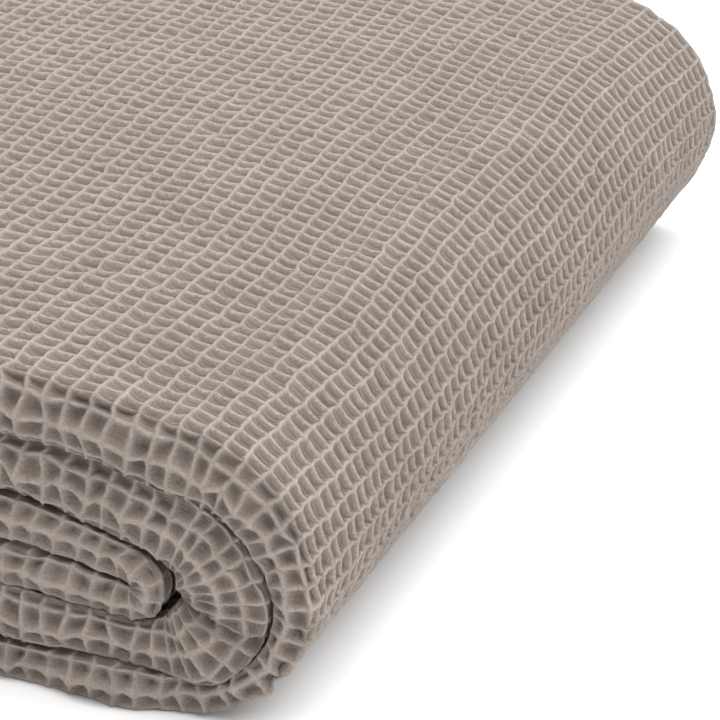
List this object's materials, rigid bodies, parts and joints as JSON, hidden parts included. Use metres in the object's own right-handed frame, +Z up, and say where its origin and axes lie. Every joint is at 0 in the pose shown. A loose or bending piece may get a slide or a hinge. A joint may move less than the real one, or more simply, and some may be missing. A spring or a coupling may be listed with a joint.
{
  "type": "folded throw blanket",
  "caption": "Waffle-weave cotton throw folded into a thick rectangular stack of soft leaves with nested rounded turns along one side.",
  "frame": {"origin": "centre of the underside of the folded stack, on the surface it rests on", "axes": "+Z up, +Y along the folds from the front folded edges to the back hems, +X towards the nested turns"},
  "size_m": [0.2961, 0.325, 0.0877],
  "materials": {
    "waffle_cloth": "soft matt waffle-weave cotton, warm taupe",
    "hem_cloth": "turned double hem of the same cotton, pressed flat",
    "hem_thread": "matt polyester-cotton sewing thread"
  },
  "bodies": {
    "lower_half": {"outer_lower_leaf": "waffle_cloth", "middle_lower_leaf": "waffle_cloth", "inner_lower_leaf": "waffle_cloth", "outer_lower_side_hems": "hem_cloth", "middle_lower_side_hems": "hem_cloth", "inner_lower_side_hems": "hem_cloth", "inner_turn": "waffle_cloth", "middle_turn": "waffle_cloth", "outer_turn": "waffle_cloth", "lower_end_fold": "waffle_cloth", "middle_lower_end_hems": "hem_cloth"},
    "upper_half": {"inner_upper_leaf": "waffle_cloth", "middle_upper_leaf": "waffle_cloth", "outer_upper_leaf": "waffle_cloth", "inner_upper_side_hems": "hem_cloth", "middle_upper_side_hems": "hem_cloth", "outer_upper_side_hems": "hem_cloth", "upper_end_fold": "waffle_cloth", "inner_upper_end_hems": "hem_cloth", "hem_stitching": "hem_thread"}
  },
  "joints": [
    {"name": "unfold", "type": "hinge", "parent": "lower_half", "child": "upper_half", "pos_m": [0.10965, 0, 0.0384], "axis": [0, 1, 0], "range_deg": [0, 176], "deforming": ["inner_turn", "middle_turn", "outer_turn"]}
  ]
}
